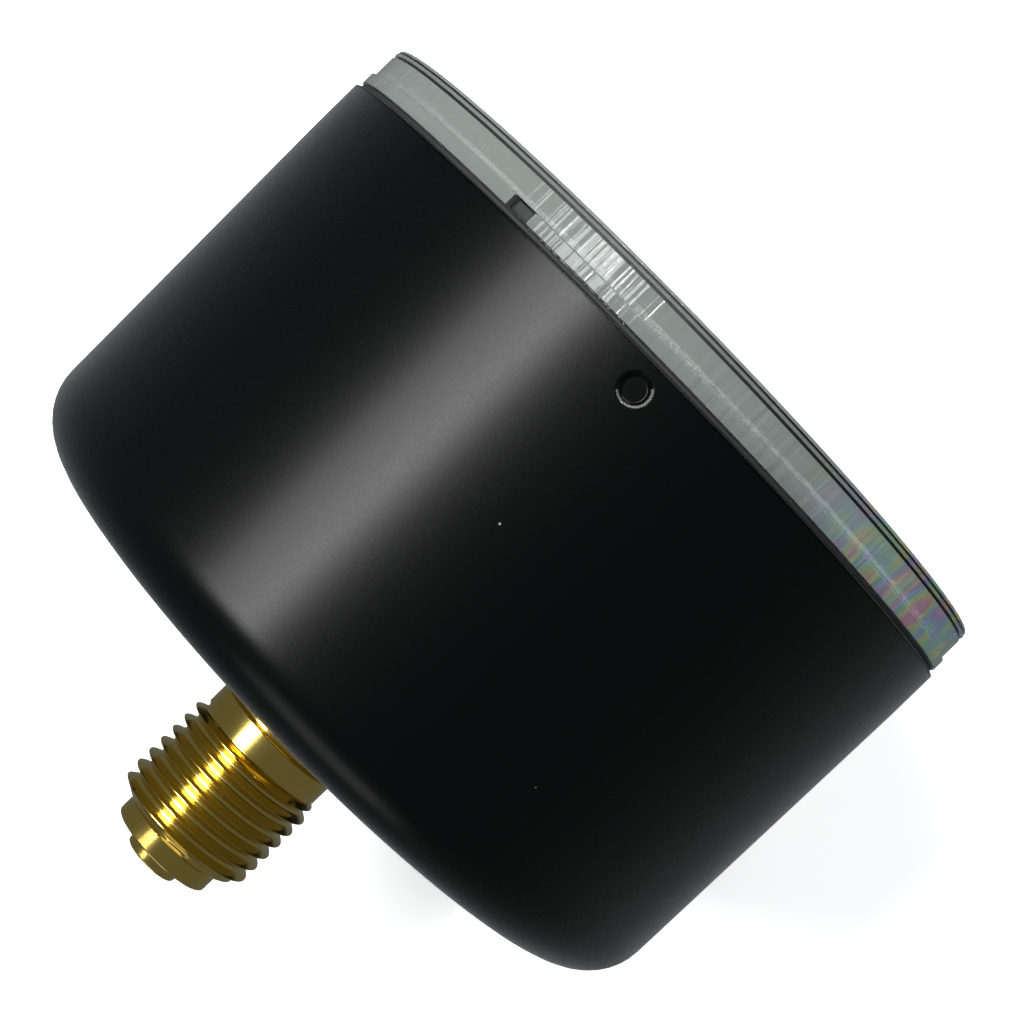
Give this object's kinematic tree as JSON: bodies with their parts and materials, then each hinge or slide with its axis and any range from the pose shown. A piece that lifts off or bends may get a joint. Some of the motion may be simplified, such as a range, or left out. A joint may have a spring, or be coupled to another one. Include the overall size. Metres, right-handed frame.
{
  "type": "dial pressure gauge",
  "caption": "Round dial pressure gauge with a black steel case, a clear snap-in window and a brass threaded stem out of the centre of the back.",
  "frame": {"origin": "centre of the stem's sealing step, the ring-shaped face round the small end pin", "axes": "+Y along the stem, out of the back of the gauge; -Y is the way the dial faces; +Z is 12 o'clock on the dial; +X is 3 o'clock"},
  "size_m": [0.066, 0.0603, 0.066],
  "materials": {
    "black_paint": "satin black paint with a fine grain on drawn steel",
    "clear_plastic": "clear moulded plastic, greyish in its thick rim",
    "black_rubber": "dull black rubber",
    "turned_brass": "bright turned brass",
    "sheet_brass": "stamped sheet brass",
    "tube_bronze": "drawn phosphor bronze tube, slightly toned",
    "spring_bronze": "thin phosphor bronze ribbon",
    "steel": "zinc-plated steel",
    "white_enamel": "matt white enamel on aluminium",
    "black_enamel": "matt black enamel on aluminium"
  },
  "bodies": {
    "housing": {"case": "black_paint", "window": "clear_plastic", "window_seal": "black_rubber", "case_gasket": "black_rubber", "stem": "turned_brass", "restrictor_screw": "turned_brass", "bourdon_tube": "tube_bronze", "movement_back_plate": "sheet_brass", "movement_front_plate": "sheet_brass", "plate_post_left": "turned_brass", "plate_post_right": "turned_brass", "plate_screw_left": "steel", "plate_screw_right": "steel", "movement_screw_upper": "steel", "movement_screw_lower": "steel", "hairspring": "spring_bronze", "hairspring_stud": "turned_brass", "dial": "white_enamel", "dial_pillar_left": "turned_brass", "dial_pillar_right": "turned_brass", "dial_screw_left": "steel", "dial_screw_right": "steel", "stop_pin": "steel", "case_screw_left": "steel", "case_screw_right": "steel"},
    "sector": {"sector_gear": "sheet_brass", "sector_arbor": "turned_brass", "tail_screw": "steel"},
    "tube_end": {"tube_tip": "turned_brass", "tip_screw": "steel"},
    "link": {"link": "sheet_brass"},
    "pointer": {"pinion_arbor": "turned_brass", "pointer": "black_enamel", "pointer_hub": "turned_brass", "hairspring_collet": "turned_brass"}
  },
  "joints": [
    {"name": "sector_swing", "type": "hinge", "parent": "housing", "child": "sector", "pos_m": [0.00351, -0.039, -0.01409], "axis": [0, 1, 0], "range_deg": [-27, 0], "stiffness_Nm_per_rad": 0.002, "springref_deg": 2.86},
    {"name": "pointer_turn", "type": "hinge", "parent": "housing", "child": "pointer", "pos_m": [0, -0.0445, 0], "axis": [0, 1, 0], "range_deg": [0, 270], "deforming": ["hairspring"]},
    {"name": "tip_travel", "type": "slide", "parent": "housing", "child": "tube_end", "axis": [0.4067, 0, 0.9135], "range_m": [0, 0.00287], "deforming": ["bourdon_tube"]},
    {"name": "link_swing", "type": "hinge", "parent": "tube_end", "child": "link", "pos_m": [0.01464, -0.04015, -0.00933], "axis": [0, 1, 0], "range_deg": [-3.33, 0]}
  ],
  "couplings": [
    {"joint": "pointer_turn", "follows": "sector_swing", "ratio": -10},
    {"joint": "tip_travel", "follows": "sector_swing", "m_per_rad": -0.0061},
    {"joint": "link_swing", "follows": "sector_swing", "ratio": 0.123}
  ]
}
